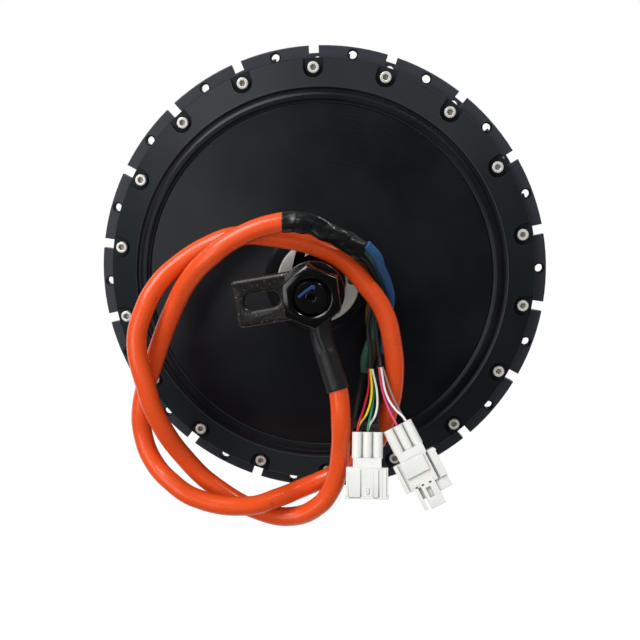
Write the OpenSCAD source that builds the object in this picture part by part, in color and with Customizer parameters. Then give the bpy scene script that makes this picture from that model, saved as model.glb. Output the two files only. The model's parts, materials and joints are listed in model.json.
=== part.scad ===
// Spoked-wheel hub motor: an outer rotor turns about a fixed, hollow axle.
// The axle lies along Y. The side that the cable leaves by faces -Y, and +Z is up.
// Sub-parts are drawn lying down, with the cable side up, and upright() stands them up.

/* [Hub shell] */
// Radius of the two spoke flanges
flange_r = 170; // [168:1:175]
// Distance over the outer faces of the flanges
flange_span = 54; // [54:1:60]
// Thickness of each flange
flange_t = 6; // [4:0.5:8]
// Outer radius of the barrel between the flanges
barrel_r = 159; // [157:0.5:160]
// Spoke holes, notches and cover screws on each side
spoke_count = 18; // [12:1:20]
// Radius of the circle that the spoke holes lie on
spoke_circle_r = 164.6; // [164.4:0.1:166]
// Diameter of a spoke hole
spoke_hole_d = 6.2; // [4:0.1:6.6]
// Width of a notch in the flange edge
notch_w = 7.5; // [5:0.5:10]
// Radius at which a notch ends
notch_r = 161.2; // [160.5:0.1:163]
// Turn of the cable side notches from +X
notch_turn = 12; // [0:1:20]

/* [Covers] */
// Outer radius of the covers
cover_r = 160.3; // [159:0.1:160.4]
// Thickness of the cover at its outer edge
cover_edge_t = 9; // [8:0.5:10]
// Radius where the sloped shoulder ends
shoulder_r = 139; // [137:0.5:141]
// Height of the shoulder's inner edge above the flange face
shoulder_h = 20.8; // [20:0.2:23]
// Radius of the crease round the inner disc
crease_r = 127.6; // [125:0.2:129]
// Wall thickness of the inner disc
cover_wall = 6; // [4:0.5:7]
// Radius of the boss round the bearing
boss_r = 37; // [36:0.5:40]
// Height of the boss face from the middle of the wheel
boss_z = 64; // [63:0.5:68]
// Radius of the circle that the cover screws lie on
screw_circle_r = 153; // [152.5:0.1:154]
// Width of the open pocket round each cover screw
pocket_w = 15; // [12:0.5:16]

/* [Brake mount] */
// Outer radius of the ring that a brake disc bolts to
brake_r = 29.9; // [29.5:0.1:32]
// Height of the brake face from the middle of the wheel
brake_z = 72; // [71:0.5:76]
// Radius of the circle of brake holes
brake_circle_r = 24; // [23.5:0.1:25]
// Diameter of the six threaded brake holes
brake_hole_d = 6; // [4:0.5:7]

/* [Axle] */
// Radius of the axle through the bearings
axle_r = 15; // [15:0.5:16]
// Height of the cable side shoulder
near_shoulder_z = 110; // [109.5:0.5:112]
// Height of the far side shoulder, below the middle of the wheel
far_shoulder_z = 82; // [76:1:90]
// Radius of the threaded ends
thread_r = 12; // [11:0.5:12]
// Width across the flats of the threaded ends
flats_w = 21; // [18:0.5:21]
// Height of the cable side tip
near_tip_z = 150; // [149:0.5:156]
// Length of the far threaded end
far_thread_l = 38; // [32:1:44]
// Radius of the bore that carries the cable
cable_bore_r = 8.7; // [8.5:0.1:9]
// Height of the middle of the cable outlet
outlet_z = 99; // [98:0.5:99]

/* [Torque arm and nuts] */
// Width across the flats of the axle nuts
nut_w = 36; // [34:1:38]
// Height of an axle nut
nut_h = 21.5; // [16:0.5:22]
// Outer radius of the axle washers
washer_r = 21; // [19:0.5:24]
// Thickness of the axle washers
washer_t = 4; // [2:0.5:5]
// Width of the torque arm
arm_w = 32.5; // [30:0.5:36]
// Reach of the torque arm from the axle
arm_l = 53.5; // [50:0.5:70]
// Thickness of the torque arm
arm_t = 6; // [4:0.5:8]
// Length of the slot in the torque arm
slot_l = 24; // [16:0.5:26]
// Width of that slot
slot_w = 11; // [8:0.5:14]
// Middle of that slot from the axle
slot_x = 35; // [34:0.5:36]
// Tilt of the torque arm and the axle flats
arm_turn = 10; // [0:1:20]

/* [Motor] */
// Radius of the stator
stator_r = 136.4; // [135.5:0.1:136.5]
// Length of the stator stack
stack_l = 45; // [40:1:45]
// Teeth of the stator
tooth_count = 63; // [63:63:63]
// Magnets round the rotor
magnet_count = 56; // [56:2:56]
// Thickness of a magnet
magnet_t = 3.1; // [2.6:0.1:3.1]
// Length of the magnets
magnet_l = 46; // [40:1:47]
// Running gap between stator and magnets
air_gap = 1; // [0.8:0.1:1.2]

/* [Cable] */
// Diameter of the main cable
cable_d = 13.8; // [13:0.1:14.5]
// Diameter of each phase wire
phase_d = 6.5; // [5:0.1:6.5]
// Diameter of each signal cable
signal_d = 3; // [2:0.1:3]
// Diameter of each thin wire
wire_d = 1.6; // [1:0.1:1.8]

/* [Hidden] */
$fn = 48;
face_z = flange_span / 2;
flange_cut = 0.8;
slack = 0.1;
fit = 0.05;

// Hub and covers
notch_depth = flange_r - notch_r + 5;
pitch_turn = 180 / spoke_count;
screw_r = 2.5;
screw_l = 16;
screw_head_r = 4.25;
screw_head_h = 5;
hex_w = 4;
cover_z = face_z + cover_edge_t;
shoulder_z = face_z + shoulder_h;
pocket_z = cover_z - 0.9;
crease_z = shoulder_z - 0.4;
spigot_depth = 3;
spigot_wall = 4.4;
seal_groove = 1.6;

// Bearings, 30 by 62 by 16
bearing_r = 31;
bearing_w = 16;
bearing_z = boss_z - 18;
bearing_top = bearing_z + bearing_w;
ball_r = 4.75;
ball_count = 9;
ball_circle_r = (bearing_r + axle_r) / 2;
lip_r = 27;
brake_step = 3;
brake_bore_r = 19.6;
far_boss_z = boss_z + 5;
far_seal_r = 24;

// Motor
magnet_r = stator_r + air_gap;
flux_r = magnet_r + magnet_t + 0.3;
flux_l = magnet_l + 1;
shell_bore_r = 148.5;
slot_bottom_r = stator_r - 17.4;
core_bore_r = slot_bottom_r - 7;
tooth_w = 6;
tip_w = 10.6;
tip_t = 2;
coil_w = 2.7;
coil_h = 8.4;
coil_gap = 0.2;
coil_low_r = slot_bottom_r + 1.2;
coil_top = stack_l / 2 + coil_h;
hub_half = 15;
hub_r = 34;
collar_r = 18;
collar_t = 4;
inlet_z = 32;
inlet_w = 13.4;
key_w = 8;
key_half = 12;
key_depth = 4;
key_rise = 3;
clip_r = axle_r - 0.8;
clip_t = 1.5;
lead_r = 2.4;
lead_z = coil_top + 2.4;
board_t = 1.6;

// Nuts on the axle
near_nut_z = near_tip_z + 0.5 - nut_h;
near_washer_z = near_nut_z - washer_t;
arm_z = near_washer_z - arm_t;
nut_turn = 38;
axle_turn = arm_turn;

// Cable
outlet_turn = -80;
outlet_r = cable_bore_r - 0.4;
grommet_r = 10.7;
grommet_top = axle_r + 3;
sleeve_d = cable_d + 1.4;
tape_d = cable_d + 1;

// Stands a piece up: its own +Z becomes -Y, where the cable side is
module upright() rotate([90, 0, 0]) children();

module around(count, turn = 0)
    for (i = [0:count - 1]) rotate(turn + i * 360 / count) children();

module tube(outer, inner, low, high)
    translate([0, 0, low]) difference() {
        cylinder(r = outer, h = high - low);
        translate([0, 0, -1]) cylinder(r = inner, h = high - low + 2);
    }

// The far side is the cable side seen in a mirror, turned by half a hole pitch
module far_side() mirror([0, 0, 1]) rotate(pitch_turn) children();

// Hub shell: barrel and two flanges in one casting

module flange_cuts() {
    around(spoke_count, notch_turn)
        translate([notch_r, -notch_w / 2, face_z - flange_t - 1])
            cube([notch_depth, notch_w, flange_t + 2]);
    around(spoke_count, notch_turn + pitch_turn)
        translate([spoke_circle_r, 0, face_z - flange_t - 1])
            cylinder(d = spoke_hole_d, h = flange_t + 2, $fn = 24);
    around(spoke_count, notch_turn)
        translate([screw_circle_r, 0, face_z - screw_l])
            cylinder(r = screw_r + fit, h = screw_l + 1, $fn = 24);
}

module hub_shell() {
    back = face_z - flange_t;
    half = [[shell_bore_r, face_z], [flange_r - flange_cut, face_z],
        [flange_r, face_z - flange_cut], [flange_r, back + flange_cut], [flange_r - flange_cut, back],
        [barrel_r + 2, back], [barrel_r, back - 2]];
    color("#1b2024") upright() difference() {
        rotate_extrude() polygon(concat(half, [for (i = [len(half) - 1:-1:0]) [half[i].x, -half[i].y]]));
        flange_cuts();
        far_side() flange_cuts();
    }
}

module flux_ring() color("#5b5f63") upright()
    tube(shell_bore_r, flux_r, -flux_l / 2, flux_l / 2);

module magnets() {
    width = 2 * magnet_r * sin(180 / magnet_count) - 1;
    color("#8b8d90") upright() around(magnet_count)
        translate([magnet_r, -width / 2, -magnet_l / 2]) cube([magnet_t, width, magnet_l]);
}

// Covers

// Outline of a cover from its edge in to the boss, then back along its underside
module cover_outline(boss_top, bore)
    polygon([
        [cover_r, face_z], [cover_r, cover_z - 0.7], [cover_r - 0.7, cover_z],
        [shoulder_r, shoulder_z], [shoulder_r - 1.8, shoulder_z - 1.1],
        [shoulder_r - 3.4, shoulder_z - 1.1], [shoulder_r - 4, shoulder_z + 0.4],
        [shoulder_r - 6, shoulder_z + 1.4], [shoulder_r - 8.4, shoulder_z + 1.5],
        [crease_r + 0.5, shoulder_z + 0.6], [crease_r + 0.4, crease_z - 0.8],
        [crease_r - 0.4, crease_z - 0.8], [crease_r - 0.6, shoulder_z + 0.5],
        [boss_r + 3, boss_z - 4], [boss_r + 0.4, boss_z - 2.6], [boss_r, boss_z - 0.6],
        [boss_r - 0.6, boss_z], [boss_r - 3.5, boss_z], [boss_r - 3.5, boss_top],
        [bore, boss_top], [bore, bearing_top + 2], [lip_r, bearing_top + 2], [lip_r, bearing_top],
        [bearing_r, bearing_top], [bearing_r, bearing_z], [bearing_r + 6, bearing_z],
        [bearing_r + 8, boss_z - 4 - cover_wall], [crease_r, crease_z - cover_wall],
        [shoulder_r - 2, crease_z - cover_wall], [shell_bore_r - spigot_wall, face_z + 3],
        [shell_bore_r - spigot_wall, face_z - spigot_depth],
        [shell_bore_r, face_z - spigot_depth], [shell_bore_r, face_z]]);

module cover(boss_top, bore) difference() {
    rotate_extrude() cover_outline(boss_top, bore);
    around(spoke_count, notch_turn) {
        translate([screw_circle_r, 0, face_z - 1]) cylinder(r = screw_r + 0.25, h = 20, $fn = 24);
        translate([screw_circle_r, 0, pocket_z]) cylinder(d = pocket_w, h = 20);
        translate([screw_circle_r, -pocket_w / 2, pocket_z]) cube([20, pocket_w, 20]);
    }
    tube(shell_bore_r + 1, shell_bore_r - seal_groove, face_z - 2.4, face_z - 2.4 + seal_groove);
}

module cable_side_cover() color("#1b2024") upright()
    cover(boss_z + brake_step, brake_r);

module far_side_cover() color("#1b2024") upright() far_side()
    cover(far_boss_z, far_seal_r);

// Cap screw with a hexagon socket, its head standing on z = 0
module cap_screw(length) difference() {
    union() {
        translate([0, 0, -length]) cylinder(r = screw_r, h = length, $fn = 24);
        cylinder(r = screw_head_r, h = screw_head_h - 0.4, $fn = 24);
        translate([0, 0, screw_head_h - 0.4])
            cylinder(r1 = screw_head_r, r2 = screw_head_r - 0.4, h = 0.4, $fn = 24);
    }
    translate([0, 0, screw_head_h - 2.5]) rotate(15) cylinder(d = hex_w / cos(30), h = 3, $fn = 6);
}

module cover_screws() around(spoke_count, notch_turn)
    translate([screw_circle_r, 0, pocket_z]) cap_screw(pocket_z - face_z + screw_l - 2);

module cable_side_screws() color("#c9cbcc") upright() cover_screws();

module far_side_screws() color("#c9cbcc") upright() far_side() cover_screws();

module cover_seal_ring()
    tube(shell_bore_r, shell_bore_r - seal_groove, face_z - 2.4, face_z - 2.4 + seal_groove);

module cable_side_seal_ring() color("#111111") upright() cover_seal_ring();

module far_side_seal_ring() color("#111111") upright() far_side() cover_seal_ring();

// Machined ring in the cable side boss, with six threaded holes for a brake disc
module brake_mount_ring() {
    low = bearing_top + 2;
    color("#c4c2bd") upright() difference() {
        rotate_extrude() polygon([[brake_bore_r, low], [brake_r, low], [brake_r, brake_z - 0.6],
            [brake_r - 0.6, brake_z], [brake_bore_r + 0.6, brake_z], [brake_bore_r, brake_z - 0.6]]);
        around(6, 2) translate([brake_circle_r, 0, low - 1])
            cylinder(d = brake_hole_d, h = brake_z - low + 2, $fn = 24);
    }
}

module shaft_seal(outer, low, high) rotate_extrude()
    polygon([[axle_r + fit, low], [outer, low], [outer, high], [axle_r + 2.5, high],
        [axle_r + 2, high - 1.5], [axle_r + fit, high - 1.5]]);

module cable_side_shaft_seal() color("#161616") upright()
    shaft_seal(brake_bore_r, bearing_top + 2, brake_z - 1.5);

module far_side_shaft_seal() color("#161616") upright() mirror([0, 0, 1])
    shaft_seal(far_seal_r, bearing_top + 2, far_boss_z - 0.5);

// Bearings

module bearing_outer() {
    shield_r = axle_r + 4.4;
    rotate_extrude() difference() {
        polygon([[shield_r, bearing_z + 0.3], [bearing_r - 3.6, bearing_z + 0.3],
            [bearing_r - 3.6, bearing_z], [bearing_r, bearing_z], [bearing_r, bearing_top],
            [bearing_r - 3.6, bearing_top], [bearing_r - 3.6, bearing_top - 0.3],
            [shield_r, bearing_top - 0.3], [shield_r, bearing_top - 1.1],
            [bearing_r - 3.6, bearing_top - 1.1], [bearing_r - 3.6, bearing_z + 1.1],
            [shield_r, bearing_z + 1.1]]);
        translate([ball_circle_r, bearing_z + bearing_w / 2]) circle(r = ball_r + fit);
    }
}

module bearing_inner() rotate_extrude() difference() {
    translate([axle_r, bearing_z]) square([3.9, bearing_w]);
    translate([ball_circle_r, bearing_z + bearing_w / 2]) circle(r = ball_r + fit);
}

// Balls held by a thin cage ring
module bearing_balls() translate([0, 0, bearing_z + bearing_w / 2]) {
    tube(ball_circle_r + 1, ball_circle_r - 1, -2.5, 2.5);
    around(ball_count) translate([ball_circle_r, 0, 0]) sphere(r = ball_r, $fn = 24);
}

module cable_side_bearing_outer() color("#b7b9bb") upright() bearing_outer();

module far_side_bearing_outer() color("#b7b9bb") upright() mirror([0, 0, 1]) bearing_outer();

module cable_side_bearing_inner() color("#b7b9bb") upright() bearing_inner();

module far_side_bearing_inner() color("#b7b9bb") upright() mirror([0, 0, 1]) bearing_inner();

module cable_side_balls() color("#d5d7d9") upright() bearing_balls();

module far_side_balls() color("#d5d7d9") upright() mirror([0, 0, 1]) bearing_balls();

// Axle and what is fixed to it

// Half of the axle's outline: shoulder, snap ring groove, threaded end and chamfered tip
function axle_half(shoulder, tip_z) = let (tip = thread_r - flats_w / 2 + 0.3) [
    [axle_r, bearing_top], [clip_r, bearing_top], [clip_r, bearing_top + clip_t],
    [axle_r, bearing_top + clip_t], [axle_r, shoulder], [thread_r, shoulder],
    [thread_r, tip_z - tip], [thread_r - tip, tip_z], [0, tip_z]];

// Space beside the two flats of a threaded end
module flats_cut(low, high) rotate(axle_turn)
    for (s = [-1, 1]) translate([-20, s * (flats_w / 2 + 5) - 5, low]) cube([40, 10, high - low]);

module inlet_cut() rotate(-90)
    translate([0, -inlet_w / 2, inlet_z - 8]) cube([axle_r + 9, inlet_w, 16]);

module key_space(side, depth) rotate(90)
    translate([axle_r - depth, -key_w / 2 - side, -key_half - side])
        cube([depth + key_rise + side, key_w + 2 * side, 2 * (key_half + side)]);

module axle() {
    far_tip_z = far_shoulder_z + far_thread_l;
    near = axle_half(near_shoulder_z, near_tip_z);
    far = [for (p = axle_half(far_shoulder_z, far_tip_z)) [p.x, -p.y]];
    color("#202225") upright() difference() {
        rotate_extrude() polygon(concat(
            [[axle_r, hub_half], [collar_r, hub_half], [collar_r, hub_half + collar_t],
                [axle_r, hub_half + collar_t]],
            near, [for (i = [len(far) - 1:-1:0]) far[i]]));
        flats_cut(near_shoulder_z, near_tip_z + 1);
        flats_cut(-far_tip_z - 1, -far_shoulder_z);
        translate([0, 0, inlet_z - 8])
            cylinder(r = cable_bore_r, h = outlet_z + outlet_r + 1 - inlet_z + 8);
        inlet_cut();
        translate([0, 0, outlet_z]) rotate([0, 90, outlet_turn]) translate([0, 0, 2])
            cylinder(r = outlet_r, h = axle_r);
        key_space(0, key_depth);
        translate([0, 0, near_tip_z - 2.6]) cylinder(r1 = 0.4, r2 = 2.6, h = 2.61);
    }
}

module axle_key() color("#8c8f92") upright() key_space(-fit, key_depth);

// Wheel of six plate spokes between the axle and the stator stack
module stator_carrier() {
    rim_r = core_bore_r - 6;
    color("#a9adb0") upright() difference() {
        union() {
            tube(hub_r, axle_r, -hub_half, hub_half);
            tube(core_bore_r, rim_r, -stack_l / 2 + 1, stack_l / 2 - 1);
            around(6, 30) translate([hub_r - 1, -7, -6]) cube([rim_r - hub_r + 2, 14, 12]);
        }
        key_space(0, key_depth);
    }
}

module stator_core() {
    neck_r = stator_r - tip_t;
    color("#6f7276") upright() translate([0, 0, -stack_l / 2]) linear_extrude(stack_l) difference() {
        union() {
            difference() {
                circle(r = slot_bottom_r);
                circle(r = core_bore_r);
            }
            intersection() {
                circle(r = stator_r);
                around(tooth_count) polygon([
                    [slot_bottom_r - 1, -tooth_w / 2], [neck_r - 2, -tooth_w / 2], [neck_r, -tip_w / 2],
                    [stator_r + 2, -tip_w / 2], [stator_r + 2, tip_w / 2], [neck_r, tip_w / 2],
                    [neck_r - 2, tooth_w / 2], [slot_bottom_r - 1, tooth_w / 2]]);
            }
        }
    }
}

// One coil round each tooth
module windings() {
    inner_w = tooth_w + 2 * coil_gap;
    outer_w = inner_w + 2 * coil_w;
    depth = stator_r - tip_t - 2.4 - coil_low_r;
    color("#a8642a") upright() around(tooth_count) difference() {
        translate([coil_low_r, -outer_w / 2, -coil_top]) cube([depth, outer_w, 2 * coil_top]);
        translate([coil_low_r - 1, -inner_w / 2, -stack_l / 2])
            cube([depth + 2, inner_w, stack_l]);
    }
}

// Curved board with three sensors on each of two rows, over the ends of the coils
module hall_board() {
    inner = coil_low_r + 1;
    outer = coil_low_r + 11;
    span = 50;
    color("#2d6a3a") upright() translate([0, 0, coil_top]) {
        rotate(60) rotate_extrude(angle = span) translate([inner, 0]) square([outer - inner, board_t]);
        for (i = [0:5]) rotate(60 + (i + 0.5) * span / 6)
            translate([inner + 3, -2, board_t / 2]) cube([3, 4, board_t / 2 + 1.5]);
    }
}

// Phase leads from the coils to the axle, and their run inside it
module internal_leads() color("#8a3b2a") upright() {
    translate([0, 0, inlet_z - 6]) cylinder(r = cable_bore_r - 0.2, h = outlet_z - inlet_z);
    for (i = [-1:1]) translate([i * (2 * lead_r - 0.8), 0, lead_z]) rotate([90, 0, 0])
        cylinder(r = lead_r, h = coil_low_r + 6, $fn = 16);
}

module cable_side_spacer() color("#9a9da0") upright() difference() {
    tube(collar_r + 0.5, axle_r, hub_half + collar_t, bearing_z);
    inlet_cut();
}

module far_side_spacer() color("#9a9da0") upright()
    tube(collar_r + 0.5, axle_r, -bearing_z, -hub_half);

// Snap ring with its ends apart
module snap_ring() difference() {
    tube(axle_r + 2.6, clip_r, bearing_top, bearing_top + clip_t);
    rotate(45) translate([0, -3, bearing_top - 1]) cube([axle_r + 5, 6, clip_t + 2]);
}

module cable_side_circlip() color("#8c8f92") upright() snap_ring();

module far_side_circlip() color("#8c8f92") upright() mirror([0, 0, 1]) snap_ring();

// Torque arm: a flat plate that fits the axle flats, with a slot for its clamp bolt
module torque_arm() {
    corner = 3;
    hole_r = thread_r + slack;
    color("#17191b") upright() translate([0, 0, arm_z]) rotate(180 + arm_turn)
        linear_extrude(arm_t) difference() {
            union() {
                translate([0, -arm_w / 2]) square([arm_l - corner, arm_w]);
                translate([0, -arm_w / 2 + corner]) square([arm_l, arm_w - 2 * corner]);
                for (s = [-1, 1]) translate([arm_l - corner, s * (arm_w / 2 - corner)])
                    circle(r = corner, $fn = 24);
                circle(r = arm_w / 2 + 2);
            }
            intersection() {
                circle(r = hole_r);
                square([3 * hole_r, flats_w + 2 * slack], center = true);
            }
            for (s = [-1, 1]) translate([slot_x + s * (slot_l - slot_w) / 2, 0]) circle(d = slot_w);
            translate([slot_x, 0]) square([slot_l - slot_w, slot_w], center = true);
        }
}

module axle_washer(low) tube(washer_r, thread_r + slack, low, low + washer_t);

// Hexagon nut with both faces chamfered and its thread countersunk
module axle_nut(low) translate([0, 0, low]) {
    corner_r = nut_w / 2 / cos(30);
    drop = 1.6;
    intersection() {
        difference() {
            rotate(nut_turn) cylinder(r = corner_r, h = nut_h, $fn = 6);
            translate([0, 0, -1]) cylinder(r = thread_r + fit, h = nut_h + 2);
            translate([0, 0, nut_h - 1.4]) cylinder(r1 = thread_r, r2 = thread_r + 1.5, h = 1.41);
        }
        rotate_extrude() polygon([[0, 0], [nut_w / 2 - 0.6, 0], [corner_r, drop],
            [corner_r, nut_h - drop], [nut_w / 2 - 0.6, nut_h], [0, nut_h]]);
    }
}

module cable_side_washer() color("#26282a") upright() axle_washer(near_washer_z);

module cable_side_nut() color("#101112") upright() axle_nut(near_nut_z);

module far_side_washer() color("#26282a") upright() mirror([0, 0, 1]) axle_washer(far_shoulder_z);

module far_side_nut() color("#101112") upright() mirror([0, 0, 1])
    axle_nut(far_shoulder_z + washer_t);

// Cable, wires and plugs, drawn where they hang

// Rubber grommet: a plug in the outlet, and a collar that sits on the axle
module cable_grommet() color("#121212") upright()
    translate([0, 0, outlet_z]) rotate([0, 90, outlet_turn]) {
        difference() {
            translate([0, 0, axle_r - 3]) cylinder(r = grommet_r, h = grommet_top - axle_r + 3);
            rotate([0, -90, 0]) rotate(180) cylinder(r = axle_r, h = 4 * grommet_r, center = true);
        }
        translate([0, 0, cable_bore_r + 1])
            cylinder(r = outlet_r - fit, h = grommet_top - cable_bore_r - 1);
    }

function unit(v) = v / norm(v);

// One ring of a cord, square to its way at that point
function cord_ring(centre, way, r, sides) =
    let (across = unit(cross(way, [0, 1, 0])), other = cross(across, way))
    [for (i = [0:sides - 1])
        centre + r * (cos(360 * i / sides) * across + sin(360 * i / sides) * other)];

module cord(route, d, sides) {
    last = len(route) - 1;
    ways = [for (i = [0:last]) unit(route[min(i + 1, last)] - route[max(i - 1, 0)])];
    polyhedron(
        points = [for (i = [0:last]) each cord_ring(route[i], ways[i], d / 2, sides)],
        faces = [
            [for (i = [sides - 1:-1:0]) i],
            [for (i = [0:sides - 1]) last * sides + i],
            for (i = [0:last - 1]) for (j = [0:sides - 1])
                let (a = i * sides + j, b = i * sides + (j + 1) % sides)
                each [[a, b, b + sides], [a, b + sides, a + sides]]]);
}

// Routes of the cable and the wires
sleeve_route = [[3, -99, -18], [4, -102, -34], [10, -107, -52], [16, -111, -70]];
cable_route = [[16, -111, -70], [18, -112, -94], [17.5, -106, -115], [15, -102, -134], [10.5, -99, -147],
    [2, -97, -159], [-18, -92, -170], [-44, -89, -167], [-76, -88, -149], [-92, -90, -133], [-113, -104, -93],
    [-119, -107, -71], [-125, -106, -38], [-120, -103, -17], [-110, -96, 2],
    [-95, -90, 16], [-77, -89, 27], [-57, -89, 34], [-27, -90, 33], [2, -90, 26], [20, -90, 16],
    [34.5, -91.5, 0.5], [47, -90, -18], [53, -89, -40], [55, -87, -66], [50, -85, -96], [41, -84, -117],
    [27, -81, -133], [9, -80, -143], [-9, -84, -150], [-28, -97, -154], [-47, -106, -157],
    [-86, -106, -152], [-104, -102, -142], [-119, -94, -129], [-127, -88, -113],
    [-128, -88, -92], [-117, -88, -55], [-98, -95, -11], [-87, -101, 6],
    [-72, -107, 21], [-54, -107, 34], [-22, -106, 45]];
tape_route = [[-22, -106, 45], [-8, -106, 45], [5, -106, 40], [18, -104, 34], [32, -102, 25]];
blue_route = [[35, -107, 30], [42, -103, 22], [44.5, -95, 14], [49.5, -82, 1], [52, -74, -12],
    [50, -70, -26], [46, -77, -53]];
green_route = [[33.5, -101, 27], [38.5, -96, 20], [40.5, -88, 13], [45, -77, -1], [44, -74, -12],
    [42, -73, -26], [38, -80, -41], [34, -81, -54], [34, -80, -65]];
yellow_route = [[30.5, -96.5, 23], [36, -85.5, 17], [37, -78, 11], [40, -72.5, -3], [39, -70, -12],
    [37, -69, -24], [39, -69, -40], [40, -70, -54], [41, -75, -66]];
blue_end_route = [[46, -77, -53], [42, -88, -66], [42, -97, -82], [41, -99, -97]];
green_end_route = [[34, -80, -65], [31, -84, -82], [28, -86, -98]];
yellow_end_route = [[41, -75, -66], [40, -84, -78], [35, -92, -89], [34, -95, -97]];
signal_a_route = [[28.5, -102, 19.5], [34.5, -93.5, 15], [37.4, -83.8, 9], [40, -79.5, -3],
    [39, -78.5, -14], [36, -83, -31], [38, -88, -46], [38, -92, -59]];
signal_b_route = [[30.5, -105, 22.5], [36, -98, 17], [39, -93, 11], [42, -87, 4], [44.5, -83, -2],
    [43.5, -79.5, -14], [42, -82, -30], [44, -89, -48], [45, -95, -57]];

module cable_sleeve() color("#1a1b1c") cord(sleeve_route, sleeve_d, 12);

module main_cable() color("#ee5522") cord(cable_route, cable_d, 12);

module cable_tape() color("#1c1f20") cord(tape_route, tape_d, 12);

module blue_phase_wire() color("#2d5a8c") cord(blue_route, phase_d, 8);

module green_phase_wire() color("#3c6455") cord(green_route, phase_d, 8);

module yellow_phase_wire() color("#c9a020") cord(yellow_route, phase_d, 8);

// Shrink tube over a wire's end, and the flat lug that it grips
module wire_end(route) {
    lug_w = 8;
    lug_t = 1.6;
    lug_l = 12;
    end = route[len(route) - 1];
    cord(route, phase_d + 1, 8);
    translate([end.x - lug_w / 2, end.y - lug_t / 2, end.z - lug_l]) difference() {
        cube([lug_w, lug_t, lug_l + 1]);
        translate([lug_w / 2, -1, 4.5]) rotate([-90, 0, 0]) cylinder(d = 4.2, h = 4, $fn = 24);
    }
}

module blue_wire_end() color("#1a1a1a") wire_end(blue_end_route);

module green_wire_end() color("#1a1a1a") wire_end(green_end_route);

module yellow_wire_end() color("#1a1a1a") wire_end(yellow_end_route);

module signal_cable_a() color("#1d1e1f") cord(signal_a_route, signal_d, 8);

module signal_cable_b() color("#1d1e1f") cord(signal_b_route, signal_d, 8);

// Plug housings, drawn from the wire end down, with +Y at the back
tube_d = 7.2;
tube_l = 18;
row_y = 3.7;
plug_t = 15;
plug_lean = 16;
left_plug_at = [36.5, -113, -99];
right_plug_at = [56.7, -111.7, -94.5];
right_plug_tilt = 27.6;

module wire_tubes() difference() {
    union() {
        for (x = [-1:1]) for (s = [-1, 1])
            translate([x * (tube_d - 0.2), s * row_y, -tube_l]) cylinder(d = tube_d, h = tube_l, $fn = 24);
        translate([-tube_d, -row_y, -tube_l]) cube([2 * tube_d, 2 * row_y, tube_l]);
        translate([-9.8, -plug_t / 2 - 0.3, -tube_l - 7]) cube([19.6, plug_t + 0.6, 7.5]);
    }
    for (x = [-1:1]) for (s = [-1, 1])
        translate([x * (tube_d - 0.2), s * row_y, -6]) cylinder(d = 4.6, h = 7, $fn = 16);
}

// Socket housing with a hood round six flat pins
module left_plug() {
    hood_w = 28.6;
    hood_t = plug_t + 2.4;
    hood_h = 21;
    low = -tube_l - 6 - hood_h;
    color("#e9eae6") translate(left_plug_at) rotate([-plug_lean, 0, 0]) {
        wire_tubes();
        difference() {
            union() {
                translate([-hood_w / 2, -hood_t / 2, low]) cube([hood_w, hood_t, hood_h]);
                translate([-12.4, -hood_t / 2 - 0.9, low + 1]) cube([8, 2, hood_h - 2]);
                translate([4.6, -hood_t / 2 - 0.9, low + 1]) cube([3.2, 2, hood_h - 2]);
                translate([10.6, -hood_t / 2 - 0.6, low + 1]) cube([2.6, 2, hood_h - 1.6]);
                translate([-hood_w / 2 - 0.6, -hood_t / 2 - 0.6, low])
                    cube([hood_w + 1.2, hood_t + 1.2, 1.6]);
                translate([-0.3, -hood_t / 2 - 0.5, low + 3.2]) cube([1.8, 1, 4]);
            }
            translate([-hood_w / 2 + 1.7, -hood_t / 2 + 1.7, low - 1])
                cube([hood_w - 3.4, hood_t - 3.4, hood_h - 2]);
        }
        for (x = [-1:1]) for (s = [-1, 1])
            translate([x * 7 - 1.4, s * row_y - 0.4, low + 6]) cube([2.8, 0.8, hood_h - 8]);
    }
}

// Mating housing with its latch, laid over at an angle
module right_plug() {
    block_w = 31;
    block_t = plug_t + 2;
    block_h = 20;
    low = -tube_l - 6 - block_h;
    color("#e9eae6") translate(right_plug_at) rotate([-plug_lean, 0, 0]) rotate([0, -right_plug_tilt, 0]) {
        wire_tubes();
        difference() {
            union() {
                translate([-block_w / 2, -block_t / 2, low]) cube([block_w, block_t, block_h]);
                translate([-10.5, -block_t / 2 - 1.4, low + 8.5]) cube([17, 3, 11.5]);
                translate([-8, -block_t / 2 + 1.6, low - 8]) cube([23, block_t - 3.2, 9]);
                translate([-9.4, -block_t / 2 - 0.6, low - 15]) cube([2.6, 3, 18]);
                translate([-4.8, -block_t / 2 - 0.6, low - 16]) cube([10.6, 2.6, 19]);
            }
            translate([-2, -block_t / 2 - 1, low - 9]) cube([3.2, 2.2, 7]);
            translate([8.6, -block_t / 2 - 1, low - 1]) cube([1.6, 3.4, block_h + 2]);
            translate([-12.6, -block_t / 2 - 1, low - 1]) cube([1.2, 2, block_h + 2]);
            for (x = [-1:1]) for (s = [-1, 1])
                translate([3.5 + x * 7 - 1.6, s * row_y - 0.8, low - 9]) cube([3.2, 1.6, 5]);
        }
    }
}

// Thin wires from the signal cables into the plugs
module thin_wire(route) cord(route, wire_d, 8);

module left_red_wire() color("#b02030")
    thin_wire([[37, -92, -59], [37, -98, -70], [34, -106, -83], [29.8, -115, -95.3], [29.5, -118.2, -103.6]]);

module left_yellow_wire() color("#e6c81e")
    thin_wire([[38, -93.4, -59], [39, -102, -75], [36, -107, -87], [30, -109.1, -97], [29.5, -111, -105.6]]);

module left_green_wire() color("#1f7a5a")
    thin_wire([[38.4, -91.2, -59], [40.5, -98, -75], [39, -106, -86],
        [36.8, -115, -95.3], [36.5, -118.2, -103.6]]);

module left_white_wire() color("#d9dad0")
    thin_wire([[39.4, -93, -59], [43, -101, -76], [42, -106, -88],
        [37.2, -109.1, -97], [36.5, -111, -105.6]]);

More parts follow.
